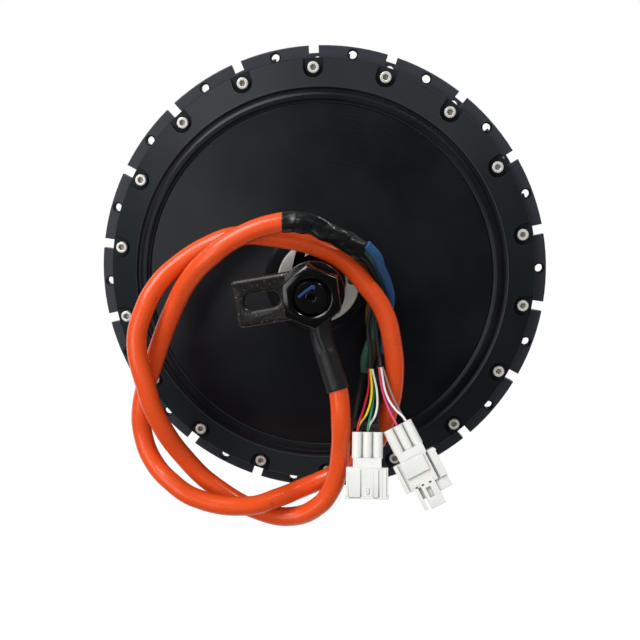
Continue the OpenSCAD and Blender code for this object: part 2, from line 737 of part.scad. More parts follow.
module right_pink_wire() color("#d43a62")
    thin_wire([[44, -95.6, -57], [46.5, -101, -72], [51, -107.5, -84],
        [55.3, -113.8, -91.1], [59.4, -116.7, -98.4]]);

module right_violet_wire() color("#7b3fa0")
    thin_wire([[45, -94, -57], [48.5, -99, -73], [52, -104, -85],
        [55.3, -108.1, -92.8], [59.4, -109.6, -100.5]]);

module right_white_wire() color("#ecece6")
    thin_wire([[45.4, -96, -57], [50, -104, -76], [56, -109.5, -84],
        [61.1, -112.9, -88.2], [65.6, -115.8, -95.3]]);

module right_grey_wire() color("#8d7a74")
    thin_wire([[46.4, -94.6, -57], [53, -100, -75], [57.5, -103.5, -84],
        [61.1, -107.2, -89.9], [65.6, -108.7, -97.3]]);

hub_shell();
flux_ring();
magnets();
cable_side_cover();
far_side_cover();
cable_side_screws();
far_side_screws();
cable_side_seal_ring();
far_side_seal_ring();
brake_mount_ring();
cable_side_shaft_seal();
far_side_shaft_seal();
cable_side_bearing_outer();
far_side_bearing_outer();
cable_side_balls();
far_side_balls();
axle();
axle_key();
stator_carrier();
stator_core();
windings();
hall_board();
internal_leads();
cable_side_spacer();
far_side_spacer();
cable_side_bearing_inner();
far_side_bearing_inner();
cable_side_circlip();
far_side_circlip();
torque_arm();
cable_side_washer();
cable_side_nut();
far_side_washer();
far_side_nut();
cable_grommet();
cable_sleeve();
main_cable();
cable_tape();
blue_phase_wire();
green_phase_wire();
yellow_phase_wire();
blue_wire_end();
green_wire_end();
yellow_wire_end();
signal_cable_a();
signal_cable_b();
left_plug();
right_plug();
left_red_wire();
left_yellow_wire();
left_green_wire();
left_white_wire();
right_pink_wire();
right_violet_wire();
right_white_wire();
right_grey_wire();
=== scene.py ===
"""Looks of a spoked-wheel hub motor: its finishes, its free cables and wires, and the studio.

The motor stands with its axle along Y and its cable side towards -Y. Blender gets metres. Routes, flat
outlines and everything that MM or metres() turns are in millimetres.
"""

import json
import math

import bmesh
import bpy
from mathutils import Matrix, Vector, noise

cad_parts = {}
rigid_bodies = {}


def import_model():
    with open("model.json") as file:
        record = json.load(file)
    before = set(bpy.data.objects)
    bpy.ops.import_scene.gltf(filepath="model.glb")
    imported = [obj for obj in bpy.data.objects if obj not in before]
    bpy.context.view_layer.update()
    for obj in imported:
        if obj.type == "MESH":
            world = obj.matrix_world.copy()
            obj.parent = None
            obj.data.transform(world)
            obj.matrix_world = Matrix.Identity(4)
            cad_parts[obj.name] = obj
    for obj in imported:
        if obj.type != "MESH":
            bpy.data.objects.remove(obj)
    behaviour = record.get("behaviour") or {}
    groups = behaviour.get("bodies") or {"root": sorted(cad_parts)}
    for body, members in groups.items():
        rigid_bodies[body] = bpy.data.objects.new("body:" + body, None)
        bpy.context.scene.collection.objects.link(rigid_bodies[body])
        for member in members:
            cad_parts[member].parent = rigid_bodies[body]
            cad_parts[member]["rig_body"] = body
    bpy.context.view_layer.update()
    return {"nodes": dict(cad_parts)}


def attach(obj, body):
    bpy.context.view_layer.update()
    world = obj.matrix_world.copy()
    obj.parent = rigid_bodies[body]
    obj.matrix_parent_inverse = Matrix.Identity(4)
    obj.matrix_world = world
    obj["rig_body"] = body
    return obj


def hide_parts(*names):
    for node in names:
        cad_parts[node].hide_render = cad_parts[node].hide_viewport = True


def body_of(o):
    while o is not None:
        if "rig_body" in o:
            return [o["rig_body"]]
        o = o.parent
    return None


bl_info = {
    "name": "Hub Motor Looks",
    "version": (1, 0, 0),
    "blender": (4, 5, 0),
    "location": "View3D > Sidebar > Hub Motor",
    "description": "Dresses a spoked-wheel hub motor: coats, bare metal, cable, wires and plugs",
    "category": "Object",
}

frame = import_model()
NODES = frame["nodes"]
MM = 0.001

# Where the spoke holes, the ridges of the covers, the axle's near tip and the plugs are on the solids
SPOKE_COUNT = 18
SPOKE_CIRCLE_MM = 164.6
SPOKE_HOLE_RADIUS_MM = 3.1
FLANGE_FACE_MM = 27.0
DISH_EDGE_MM = 128.1
SHOULDER_TOP_MM = 138.8
NEAR_TIP_MM = -150
PLUG_LEAN = math.radians(-16)
RIGHT_PLUG_TILT = math.radians(-27.6)

# The wires' routes in millimetres, as the solids of the cable and the wires have them
SLEEVE = [(3, -99, -18), (4, -102, -34), (10, -107, -52), (16, -111, -70)]
CABLE = [
    (16, -111, -70), (18, -112, -94), (17.5, -106, -115), (15, -102, -134), (10.5, -99, -147),
    (2, -97, -159), (-18, -92, -170), (-44, -89, -167), (-76, -88, -149), (-92, -90, -133),
    (-113, -104, -93), (-119, -107, -71), (-125, -106, -38), (-120, -103, -17), (-110, -96, 2),
    (-95, -90, 16), (-77, -89, 27), (-57, -89, 34), (-27, -90, 33), (2, -90, 26), (20, -90, 16),
    (34.5, -91.5, 0.5), (47, -90, -18), (53, -89, -40), (55, -87, -66), (50, -85, -96),
    (41, -84, -117), (27, -81, -133), (9, -80, -143), (-9, -84, -150), (-28, -97, -154),
    (-47, -106, -157), (-86, -106, -152), (-104, -102, -142), (-119, -94, -129), (-127, -88, -113),
    (-128, -88, -92), (-117, -88, -55), (-98, -95, -11), (-87, -101, 6), (-72, -107, 21),
    (-54, -107, 34), (-22, -106, 45),
]
TAPE = [(-22, -106, 45), (-8, -106, 45), (5, -106, 40), (18, -104, 34), (32, -102, 25)]
PHASES = {
    "blue": [(35, -107, 30), (42, -103, 22), (44.5, -95, 14), (49.5, -82, 1), (52, -74, -12),
             (50, -70, -26), (46, -77, -53)],
    "green": [(33.5, -101, 27), (38.5, -96, 20), (40.5, -88, 13), (45, -77, -1), (44, -74, -12),
              (42, -73, -26), (38, -80, -41), (34, -81, -54), (34, -80, -65)],
    "yellow": [(30.5, -96.5, 23), (36, -85.5, 17), (37, -78, 11), (40, -72.5, -3), (39, -70, -12),
               (37, -69, -24), (39, -69, -40), (40, -70, -54), (41, -75, -66)],
}
PHASE_ENDS = {
    "blue": [(46, -77, -53), (42, -88, -66), (42, -97, -82), (41, -99, -97)],
    "green": [(34, -80, -65), (31, -84, -82), (28, -86, -98)],
    "yellow": [(41, -75, -66), (40, -84, -78), (35, -92, -89), (34, -95, -97)],
}
SIGNALS = {
    "a": [(28.5, -102, 19.5), (34.5, -93.5, 15), (37.4, -83.8, 9), (40, -79.5, -3),
          (39, -78.5, -14), (36, -83, -31), (38, -88, -46), (38, -92, -59)],
    "b": [(30.5, -105, 22.5), (36, -98, 17), (39, -93, 11), (42, -87, 4), (44.5, -83, -2),
          (43.5, -79.5, -14), (42, -82, -30), (44, -89, -48), (45, -95, -57)],
}
THIN_WIRES = {
    "left_red": [(37, -92, -59), (37, -98, -70), (34, -106, -83), (29.8, -115, -95.3),
                 (29.5, -118.2, -103.6)],
    "left_yellow": [(38, -93.4, -59), (39, -102, -75), (36, -107, -87), (30, -109.1, -97),
                    (29.5, -111, -105.6)],
    "left_green": [(38.4, -91.2, -59), (40.5, -98, -75), (39, -106, -86), (36.8, -115, -95.3),
                   (36.5, -118.2, -103.6)],
    "left_white": [(39.4, -93, -59), (43, -101, -76), (42, -106, -88), (37.2, -109.1, -97),
                   (36.5, -111, -105.6)],
    "right_pink": [(44, -95.6, -57), (46.5, -101, -72), (51, -107.5, -84), (55.3, -113.8, -91.1),
                   (59.4, -116.7, -98.4)],
    "right_violet": [(45, -94, -57), (48.5, -99, -73), (52, -104, -85), (55.3, -108.1, -92.8),
                     (59.4, -109.6, -100.5)],
    "right_white": [(45.4, -96, -57), (50, -104, -76), (56, -109.5, -84), (61.1, -112.9, -88.2),
                    (65.6, -115.8, -95.3)],
    "right_grey": [(46.4, -94.6, -57), (53, -100, -75), (57.5, -103.5, -84), (61.1, -107.2, -89.9),
                   (65.6, -108.7, -97.3)],
}
THIN_WIRE_SHADES = {
    "left_red": ("#C2182F", "red_jacket"), "left_yellow": ("#F2D81E", "lemon_jacket"),
    "left_green": ("#1E8A62", "emerald_jacket"), "left_white": ("#EDEDE2", "white_jacket"),
    "right_pink": ("#E2456B", "pink_jacket"), "right_violet": ("#8A3FA8", "violet_jacket"),
    "right_white": ("#F4F0F2", "white_jacket"), "right_grey": ("#9A857C", "grey_jacket"),
}


def linear(code):
    """A colour written as sRGB hex, turned to linear red, green, blue and alpha."""
    parts = [int(code[i:i + 2], 16) / 255 for i in (1, 3, 5)]
    return (*(p / 12.92 if p <= 0.04045 else ((p + 0.055) / 1.055) ** 2.4 for p in parts), 1.0)


# Sizes and colours

class HubMotorSizes(bpy.types.PropertyGroup):
    """Real sizes of what is dressed"""

    cable_width: bpy.props.FloatProperty(
        name="Main cable", description="Diameter of the orange cable", default=13.8 * MM,
        min=0.01, max=0.02, unit="LENGTH")
    phase_width: bpy.props.FloatProperty(
        name="Phase wire", description="Diameter of a phase wire", default=6.5 * MM,
        min=0.004, max=0.008, unit="LENGTH")
    signal_width: bpy.props.FloatProperty(
        name="Signal cable", description="Diameter of a signal cable", default=3 * MM,
        min=0.002, max=0.004, unit="LENGTH")
    wire_width: bpy.props.FloatProperty(
        name="Thin wire", description="Diameter of a plug's wire", default=1.6 * MM,
        min=0.001, max=0.002, unit="LENGTH")
    tape_width: bpy.props.FloatProperty(
        name="Tape", description="Diameter over the taped stretch", default=14.8 * MM,
        min=0.01, max=0.024, unit="LENGTH")
    sleeve_width: bpy.props.FloatProperty(
        name="Sleeve", description="Diameter over the sleeve at the axle", default=15.2 * MM,
        min=0.01, max=0.02, unit="LENGTH")
    lens: bpy.props.FloatProperty(
        name="Lens", description="Focal length of the camera on a 36 mm sensor", default=51.906,
        min=20, max=200)


class HubMotorColours(bpy.types.PropertyGroup):
    """Colours of the finishes"""

    coat: bpy.props.FloatVectorProperty(
        name="Cover", description="Black anodised dish of the covers", size=4, subtype="COLOR",
        default=linear("#0A0C10"), min=0, max=1)
    shoulder: bpy.props.FloatVectorProperty(
        name="Shoulder", description="Sloping rim of the covers", size=4, subtype="COLOR",
        default=linear("#12191D"), min=0, max=1)
    flange: bpy.props.FloatVectorProperty(
        name="Flange", description="Machined spoke flanges of the shell", size=4, subtype="COLOR",
        default=linear("#30343C"), min=0, max=1)
    cable: bpy.props.FloatVectorProperty(
        name="Cable", description="Jacket of the main cable", size=4, subtype="COLOR",
        default=linear("#E24F1B"), min=0, max=1)
    blue: bpy.props.FloatVectorProperty(
        name="Blue wire", description="Jacket of the blue phase wire", size=4, subtype="COLOR",
        default=linear("#25507E"), min=0, max=1)
    green: bpy.props.FloatVectorProperty(
        name="Green wire", description="Jacket of the green phase wire", size=4, subtype="COLOR",
        default=linear("#315A4B"), min=0, max=1)
    # The yellow is darkened as painted shade, for a wire that runs in shadow
    yellow: bpy.props.FloatVectorProperty(
        name="Yellow wire", description="Jacket of the yellow phase wire", size=4, subtype="COLOR",
        default=linear("#5E4E14"), min=0, max=1)
    plug: bpy.props.FloatVectorProperty(
        name="Plugs", description="Moulded plug housings", size=4, subtype="COLOR",
        default=linear("#E6E7E2"), min=0, max=1)


def sizes():
    """The sizes that a user can change."""
    return bpy.context.scene.hub_motor_sizes


def colours():
    """The colours that a user can change."""
    return bpy.context.scene.hub_motor_colours


# Materials

def feed(tree, socket, value):
    """Links an input to a socket or to a node's first output in use, or else sets it to a value."""
    if isinstance(value, bpy.types.Node):
        value = next(output for output in value.outputs if output.enabled)
    if isinstance(value, bpy.types.NodeSocket):
        tree.links.new(value, socket)
    else:
        socket.default_value = value


def add(tree, kind, inputs=(), **settings):
    """Adds a node with its settings. Inputs go by name, or in the order of the sockets in use.

    So a noise takes vector, scale, detail and roughness, a Map Range takes its value and the ends
    that it runs from and to, and a Mix takes its factor and two colours.
    """
    node = tree.nodes.new("ShaderNode" + kind)
    for name, value in settings.items():
        setattr(node, name, value)
    if isinstance(inputs, dict):
        pairs = [(node.inputs[name], value) for name, value in inputs.items()]
    else:
        pairs = zip([socket for socket in node.inputs if socket.enabled], inputs)
    for socket, value in pairs:
        feed(tree, socket, value)
    return node


def new_material(name, **shader_values):
    """A material with one Principled shader. Returns it, its node tree and the shader."""
    material = bpy.data.materials.new(name)
    material.use_nodes = True
    tree = material.node_tree
    tree.nodes.clear()
    shader = add(tree, "BsdfPrincipled")
    for key, value in shader_values.items():
        shader.inputs[key.replace("_", " ")].default_value = value
    add(tree, "OutputMaterial", {"Surface": shader})
    return material, tree, shader


def finish(tree, shader, colour, roughness, height, depth_mm, edge_mm=0.0):
    """Feeds the shader, with a bump of a real depth over edges that look rounded by edge_mm."""
    bump = {"Height": height, "Distance": depth_mm * MM, "Strength": 1.0}
    if edge_mm:
        bump["Normal"] = add(tree, "Bevel", {"Radius": edge_mm * MM}, samples=6)
    feed(tree, shader.inputs["Base Color"], colour)
    feed(tree, shader.inputs["Roughness"], roughness)
    feed(tree, shader.inputs["Normal"], add(tree, "Bump", bump))


def grain(size_mm):
    """Scale of a noise texture whose features are size_mm across."""
    return 1 / (size_mm * MM)


def pitch(band_mm):
    """Scale of a wave texture whose bands are band_mm apart. It turns 20 radians for each unit."""
    return 2 * math.pi / (20 * band_mm * MM)


def radius_from_axle(tree):
    """Distance from the axle's centre line, in metres."""
    spot = add(tree, "TexCoord").outputs["Object"]
    flat = add(tree, "VectorMath", (spot, (1, 0, 1)), operation="MULTIPLY")
    return add(tree, "VectorMath", (flat,), operation="LENGTH")


def ring_mask(tree, reach, radius_mm, half_mm):
    """1 on a ring round the axle, falling to 0 at half_mm on both sides of it."""
    off = add(tree, "Math", (reach, radius_mm * MM), operation="SUBTRACT")
    gap = add(tree, "Math", (off,), operation="ABSOLUTE")
    return add(tree, "MapRange", (gap, 0, half_mm * MM, 1, 0))


def turned_rings(tree, shader, ring_mm):
    """Rings as a lathe tool leaves them, which also stretch the highlight round the axle."""
    feed(tree, shader.inputs["Tangent"], add(tree, "Tangent", direction_type="RADIAL", axis="Y"))
    return add(tree, "TexNoise", (radius_from_axle(tree), grain(ring_mm), 2.0), noise_dimensions="1D")


def thread_turns(tree):
    """M24 turns 1.5 mm apart on the round parts of both axle ends, and none on their flats."""
    spot = add(tree, "TexCoord").outputs["Object"]
    along = add(tree, "SeparateXYZ", (spot,)).outputs["Y"]
    # 194 mm of the axle between the ends are plain, and their middle is 14 mm to the cable side
    from_middle = add(tree, "Math", (along, 14 * MM), operation="ADD")
    distance = add(tree, "Math", (from_middle,), operation="ABSOLUTE")
    ends = add(tree, "MapRange", (distance, 97 * MM, 98 * MM, 0, 1))
    rounded = add(tree, "MapRange", (radius_from_axle(tree), 11.5 * MM, 11.8 * MM, 0, 1))
    where = add(tree, "Math", (ends, rounded), operation="MULTIPLY")
    turns = add(tree, "TexWave", (spot, pitch(1.5)), wave_type="BANDS", bands_direction="Y")
    return add(tree, "Math", (turns.outputs["Fac"], where), operation="MULTIPLY")


def anodised_cover():
    """Black anodised aluminium, turned: near black on the dish, blue-grey on the sloping rim."""
    material, tree, shader = new_material(
        "anodised_cover", IOR=1.5, Specular_IOR_Level=0.22, Anisotropic=0.4)
    spot = add(tree, "TexCoord").outputs["Object"]
    cloud = add(tree, "MapRange", (add(tree, "TexNoise", (spot, grain(55), 4)), 0.35, 0.65, 0, 1))
    dish = add(tree, "Mix", (cloud, colours().coat, linear("#14171B")), data_type="RGBA")
    rim = add(tree, "Mix", (cloud, colours().shoulder, linear("#181F23")), data_type="RGBA")
    reach = radius_from_axle(tree)
    outside = add(tree, "MapRange", (reach, 138 * MM, 140 * MM, 0, 1))
    colour = add(tree, "Mix", (outside, dish, rim), data_type="RGBA")
    # Painted highlights: the turned ridges at the dish and at the top of the slope get thin lighter
    # rings
    for ridge_mm, wear_and_highlight in ((DISH_EDGE_MM, "#30373B"), (SHOULDER_TOP_MM, "#343C40")):
        ridge = ring_mask(tree, reach, ridge_mm, 0.5)
        colour = add(tree, "Mix", (ridge, colour, linear(wear_and_highlight)), data_type="RGBA")
    # Rings are finer than a pixel on the real cover, so they are drawn 1.2 mm apart
    rings = turned_rings(tree, shader, 1.2)
    satin = add(tree, "MapRange", (rings, 0.3, 0.7, 0.3, 0.4))
    duller = add(tree, "MapRange", (outside, 0, 1, 0, 0.2))
    roughness = add(tree, "Math", (satin, duller), operation="ADD")
    finish(tree, shader, colour, roughness, rings, 0.008, 0.5)
    return material


def anodised_flange():
    """Black anodised aluminium, milled flat: a lighter blue-grey with a fine even grain."""
    material, tree, shader = new_material("anodised_flange", IOR=1.5, Specular_IOR_Level=0.4)
    spot = add(tree, "TexCoord").outputs["Object"]
    milled = add(tree, "TexNoise", (spot, grain(2.5), 4, 0.6))
    cloud = add(tree, "TexNoise", (spot, grain(40), 3))
    colour = add(tree, "Mix", (cloud, colours().flange, linear("#272B32")), data_type="RGBA")
    roughness = add(tree, "MapRange", (milled, 0.3, 0.7, 0.4, 0.52))
    finish(tree, shader, colour, roughness, milled, 0.01, 0.5)
    return material


def black_zinc_steel(name, threaded=False):
    """Black zinc plate on steel: wet-looking black that mirrors what is near it."""
    material, tree, shader = new_material(name, IOR=1.55, Coat_Weight=0.2, Coat_Roughness=0.08)
    spot = add(tree, "TexCoord").outputs["Object"]
    rub = add(tree, "TexNoise", (spot, grain(2.5), 5, 0.7))
    wear_and_highlight = add(tree, "MapRange", (rub, 0.64, 0.78, 0, 1))
    colour = add(tree, "Mix", (wear_and_highlight, linear("#030304"), linear("#1C1D1E")), data_type="RGBA")
    cloud = add(tree, "TexNoise", (spot, grain(8), 3))
    roughness = add(tree, "MapRange", (cloud, 0.3, 0.7, 0.14, 0.26))
    if threaded:
        finish(tree, shader, colour, roughness, thread_turns(tree), 0.6)
    else:
        finish(tree, shader, colour, roughness, add(tree, "TexNoise", (spot, grain(0.8), 3)), 0.008)
    return material


def powder_coat():
    """Thick black powder coat: orange peel about a millimetre wide, with pale dust specks."""
    material, tree, shader = new_material("powder_coat", IOR=1.5, Specular_IOR_Level=0.6)
    spot = add(tree, "TexCoord").outputs["Object"]
    mottle = add(tree, "TexNoise", (spot, grain(2.2), 5, 0.7))
    mottled = add(tree, "Mix", (mottle, linear("#070605"), linear("#1C1917")), data_type="RGBA")
    dust = add(tree, "MapRange", (add(tree, "TexNoise", (spot, grain(0.9), 0)), 0.74, 0.8, 0, 1))
    colour = add(tree, "Mix", (dust, mottled, linear("#8A867E")), data_type="RGBA")
    cloud = add(tree, "TexNoise", (spot, grain(6), 3))
    roughness = add(tree, "MapRange", (cloud, 0.3, 0.7, 0.36, 0.5))
    finish(tree, shader, colour, roughness, add(tree, "TexNoise", (spot, grain(1.1), 2)), 0.12)
    return material


def turned_steel(name, code):
    """Bare turned steel: metal with rings of tool marks and a stretched highlight."""
    material, tree, shader = new_material(name, Metallic=0.35, Anisotropic=0.6)
    rings = turned_rings(tree, shader, 0.6)
    colour = add(tree, "Mix", (rings, linear(code), linear("#A09D97")), data_type="RGBA")
    roughness = add(tree, "MapRange", (rings, 0.3, 0.7, 0.24, 0.4))
    finish(tree, shader, colour, roughness, rings, 0.015)
    return material


def stainless_steel():
    """Cold-headed stainless steel: bright satin heads, with a cast of grey in their rolled sides."""
    material, tree, shader = new_material("stainless_steel", Metallic=0.4)
    rolled = add(tree, "TexNoise", (add(tree, "TexCoord").outputs["Object"], grain(1.5), 4))
    bright = add(tree, "Mix", (rolled, linear("#F6F4EE"), linear("#CFCDC6")), data_type="RGBA")
    # Painted shade: the bottom of a hex socket, where little light reaches, is darkened by an Ambient
    # Occlusion mask
    sky = add(tree, "AmbientOcclusion", {"Distance": 3 * MM}, samples=8).outputs["AO"]
    painted_shade_fac = add(tree, "MapRange", (sky, 0.35, 0.8, 0, 1))
    colour = add(tree, "Mix", (painted_shade_fac, linear("#4A463E"), bright), data_type="RGBA")
    roughness = add(tree, "MapRange", (rolled, 0.3, 0.7, 0.24, 0.4))
    finish(tree, shader, colour, roughness, rolled, 0.01)
    return material


def plain_metal(name, code, roughness, grain_mm=2.0):
    """Plain cast, rolled or plated metal: one tone with a fine grain, up to 30 percent darker."""
    material, tree, shader = new_material(name, Metallic=1.0)
    cast = add(tree, "TexNoise", (add(tree, "TexCoord").outputs["Object"], grain(grain_mm), 4))
    dark = (*(0.7 * c for c in linear(code)[:3]), 1.0)
    colour = add(tree, "Mix", (cast, linear(code), dark), data_type="RGBA")
    satin = add(tree, "MapRange", (cast, 0.3, 0.7, roughness - 0.06, roughness + 0.08))
    finish(tree, shader, colour, satin, cast, 0.02, 0.3)
    return material


def laminated_steel():
    """Stamped electrical steel: sheets stacked along the axle, drawn 1 mm thick so that they show."""
    material, tree, shader = new_material("laminated_steel", Metallic=1.0)
    sheets = add(tree, "TexWave", (add(tree, "TexCoord").outputs["Object"], pitch(1.0)),
                 wave_type="BANDS", bands_direction="Y").outputs["Fac"]
    colour = add(tree, "Mix", (sheets, linear("#55585C"), linear("#8A8D91")), data_type="RGBA")
    roughness = add(tree, "MapRange", (sheets, 0, 1, 0.5, 0.35))
    finish(tree, shader, colour, roughness, sheets, 0.05)
    return material


def enamelled_copper():
    """Enamelled copper wire, wound: turns side by side, drawn 1.2 mm wide, under a clear enamel."""
    material, tree, shader = new_material("enamelled_copper", Metallic=0.9, Coat_Weight=0.6)
    turns = add(tree, "TexWave", (add(tree, "TexCoord").outputs["Object"], pitch(1.2), 0.6),
                wave_type="BANDS", bands_direction="Y").outputs["Fac"]
    colour = add(tree, "Mix", (turns, linear("#7A3D18"), linear("#C8793C")), data_type="RGBA")
    finish(tree, shader, colour, 0.3, turns, 0.3)
    return material


def soft_jacket(name, colour, roughness=0.36, dirt="#5A3A2C", dirt_amount=0.5):
    """Extruded silicone or vinyl: smooth and a little waxy, with handling marks in patches."""
    material, tree, shader = new_material(
        name, IOR=1.48, Subsurface_Weight=0.06, Subsurface_Scale=0.002)
    spot = add(tree, "TexCoord").outputs["Object"]
    marks = add(tree, "TexNoise", (spot, grain(14), 6, 0.7))
    fine = add(tree, "TexNoise", (spot, grain(2.5), 3, 0.6))
    both = add(tree, "Math", (marks, fine), operation="MULTIPLY")
    soiled = add(tree, "MapRange", (both, 0.33, 0.45, 0, dirt_amount))
    worn = add(tree, "Mix", (soiled, colour, linear(dirt)), data_type="RGBA")
    waxy = add(tree, "MapRange", (marks, 0.3, 0.7, roughness - 0.06, roughness + 0.1))
    finish(tree, shader, worn, waxy, add(tree, "TexNoise", (spot, grain(0.5), 2)), 0.02)
    return material


def vinyl_tape():
    """Calendered vinyl tape: semi-gloss black, stretched in small creases along its wrap."""
    material, tree, shader = new_material("vinyl_tape", IOR=1.5)
    spot = add(tree, "TexCoord").outputs["Object"]
    cloud = add(tree, "TexNoise", (spot, grain(8), 3))
    colour = add(tree, "Mix", (cloud, linear("#08090A"), linear("#131515")), data_type="RGBA")
    squeezed = add(tree, "VectorMath", (spot, (1, 1, 2.5)), operation="MULTIPLY")
    crease = add(tree, "TexNoise", (squeezed, grain(11), 3))
    roughness = add(tree, "MapRange", (crease, 0.3, 0.7, 0.22, 0.4))
    finish(tree, shader, colour, roughness, crease, 0.4)
    return material


def shrink_tube():
    """Polyolefin tube, shrunk on with heat: dark grey and satin, with slight ripples."""
    material, tree, shader = new_material("shrink_tube", IOR=1.5)
    ripple = add(tree, "TexNoise", (add(tree, "TexCoord").outputs["Object"], grain(3.5), 3))
    colour = add(tree, "Mix", (ripple, linear("#0F1012"), linear("#1B1C1F")), data_type="RGBA")
    roughness = add(tree, "MapRange", (ripple, 0.3, 0.7, 0.4, 0.55))
    finish(tree, shader, colour, roughness, ripple, 0.12)
    return material


def black_rubber():
    """Moulded rubber: dull black with a fine bloom."""
    material, tree, shader = new_material("black_rubber", IOR=1.5)
    bloom = add(tree, "TexNoise", (add(tree, "TexCoord").outputs["Object"], grain(2), 4))
    colour = add(tree, "Mix", (bloom, linear("#08090A"), linear("#121314")), data_type="RGBA")
    roughness = add(tree, "MapRange", (bloom, 0.3, 0.7, 0.5, 0.7))
    finish(tree, shader, colour, roughness, bloom, 0.03, 0.4)
    return material


def moulded_nylon():
    """White nylon: satin moulding with light passing a little way in, with painted shade in its
    grooves.
    """
    material, tree, shader = new_material(
        "moulded_nylon", IOR=1.53, Subsurface_Weight=0.08, Subsurface_Scale=0.001)
    spot = add(tree, "TexCoord").outputs["Object"]
    flow = add(tree, "TexNoise", (spot, grain(9), 3))
    white = add(tree, "Mix", (flow, colours().plug, linear("#D9DAD4")), data_type="RGBA")
    # Painted shade: the grooves darken to grey where the Ambient Occlusion finds little open sky
    sky = add(tree, "AmbientOcclusion", {"Distance": 4 * MM}, samples=8).outputs["AO"]
    painted_shade_fac = add(tree, "MapRange", (sky, 0.3, 0.85, 0, 1))
    colour = add(tree, "Mix", (painted_shade_fac, linear("#8E8F8A"), white), data_type="RGBA")
    roughness = add(tree, "MapRange", (flow, 0.3, 0.7, 0.36, 0.5))
    finish(tree, shader, colour, roughness, add(tree, "TexNoise", (spot, grain(0.6), 2)), 0.01)
    return material


def circuit_board():
    """Glass-epoxy board, screen-printed with green solder mask: glossy over a faint weave."""
    material, tree, shader = new_material("circuit_board", Coat_Weight=0.4)
    weave = add(tree, "TexNoise", (add(tree, "TexCoord").outputs["Object"], grain(1.2), 2))
    colour = add(tree, "Mix", (weave, linear("#1F5A33"), linear("#2E7444")), data_type="RGBA")
    finish(tree, shader, colour, 0.4, weave, 0.02)
    return material


# Shapes

def metres(route):
    """A route in millimetres as vectors in metres."""
    return [Vector(point) * MM for point in route]


def smooth_path(route, step=2 * MM):
    """Points about step apart on a smooth curve through the route."""
    points = metres(route)
    ends = [2 * points[0] - points[1], *points, 2 * points[-1] - points[-2]]
    dense = []
    for i in range(1, len(ends) - 2):
        p0, p1, p2, p3 = ends[i - 1:i + 3]
        count = max(2, round((p2 - p1).length / (step / 4)))
        for j in range(count):
            t = j / count
            dense.append(0.5 * (2 * p1 + (p2 - p0) * t + (2 * p0 - 5 * p1 + 4 * p2 - p3) * t * t
                                + (3 * p1 - p0 - 3 * p2 + p3) * t ** 3))
    dense.append(points[-1])
    total = sum((b - a).length for a, b in zip(dense, dense[1:]))
    spaced = total / max(2, round(total / step))
    path, run = [dense[0]], 0.0
    for a, b in zip(dense, dense[1:]):
        run += (b - a).length
        if run >= spaced:
            path.append(b)
            run -= spaced
    if (path[-1] - dense[-1]).length > spaced / 2:
        path.append(dense[-1])
    else:
        path[-1] = dense[-1]
    return path


def length_of(route):
    """Length of the smooth curve through a route."""
    path = smooth_path(route)
    return sum((b - a).length for a, b in zip(path, path[1:]))


def link(name, data, material, body="stator", smooth=True):
    """Makes an object from mesh or curve data, gives it a finish and lets it ride."""
    piece = bpy.data.objects.new(name, data)
    bpy.context.scene.collection.objects.link(piece)
    data.materials.append(material)
    if isinstance(data, bpy.types.Mesh) and smooth:
        data.shade_smooth()
    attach(piece, body)
    return piece


def finished(mesh, name, material, body="stator", smooth=False):
    """Turns a built mesh, whose faces may point either way, into a piece."""
    bmesh.ops.recalc_face_normals(mesh, faces=mesh.faces)
    data = bpy.data.meshes.new(name)
    mesh.to_mesh(data)
    mesh.free()
    piece = link(name, data, material, body, smooth)
    return piece


def dress(material, *names):
    """Gives carried-over solids a finish."""
    for name in names:
        node = NODES[name]
        node.data.materials.clear()
        node.data.materials.append(material)


def softened(material, slot, round_mm, *names):
    """Stands a copy with rounded edges in for each of these solids."""
    weld = 0.002 * MM
    flat, sharp = math.radians(1), math.radians(35)
    for name in names:
        solid = NODES[name]
        data = solid.data.copy()
        mesh = bmesh.new()
        mesh.from_mesh(data)
        bmesh.ops.remove_doubles(mesh, verts=mesh.verts, dist=weld)
        bmesh.ops.dissolve_limit(mesh, angle_limit=flat, verts=mesh.verts, edges=mesh.edges)
        mesh.to_mesh(data)
        mesh.free()
        data.materials.clear()
        piece = link(name + "_rounded", data, material, body_of(solid)[0])
        edges = piece.modifiers.new("rounded edges", "BEVEL")
        edges.width = round_mm * MM
        edges.segments = 3
        edges.limit_method = "ANGLE"
        edges.angle_limit = sharp
        edges.use_clamp_overlap = False
        edges.harden_normals = True
        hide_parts(name)


def wire(name, route, width, material, covered=()):
    """A jacketed wire as one curve along its route, thinner at the points that are covered."""
    squeezed = 0.86
    data = bpy.data.curves.new(name, "CURVE")
    data.dimensions = "3D"
    data.bevel_depth = width / 2
    data.bevel_resolution = 5
    data.resolution_u = 10
    data.use_fill_caps = True
    spline = data.splines.new("BEZIER")
    spline.bezier_points.add(len(route) - 1)
    for index, (knot, point) in enumerate(zip(spline.bezier_points, metres(route))):
        knot.co = point
        knot.radius = squeezed if index in covered else 1.0
        knot.handle_left_type = knot.handle_right_type = "AUTO"
    piece = link(name, data, material)
    return piece


def join_loops(mesh, first, second):
    """Joins two loops of as many points with a band of faces."""
    for k in range(len(first)):
        n = (k + 1) % len(first)
        mesh.faces.new((first[k], first[n], second[n], second[k]))


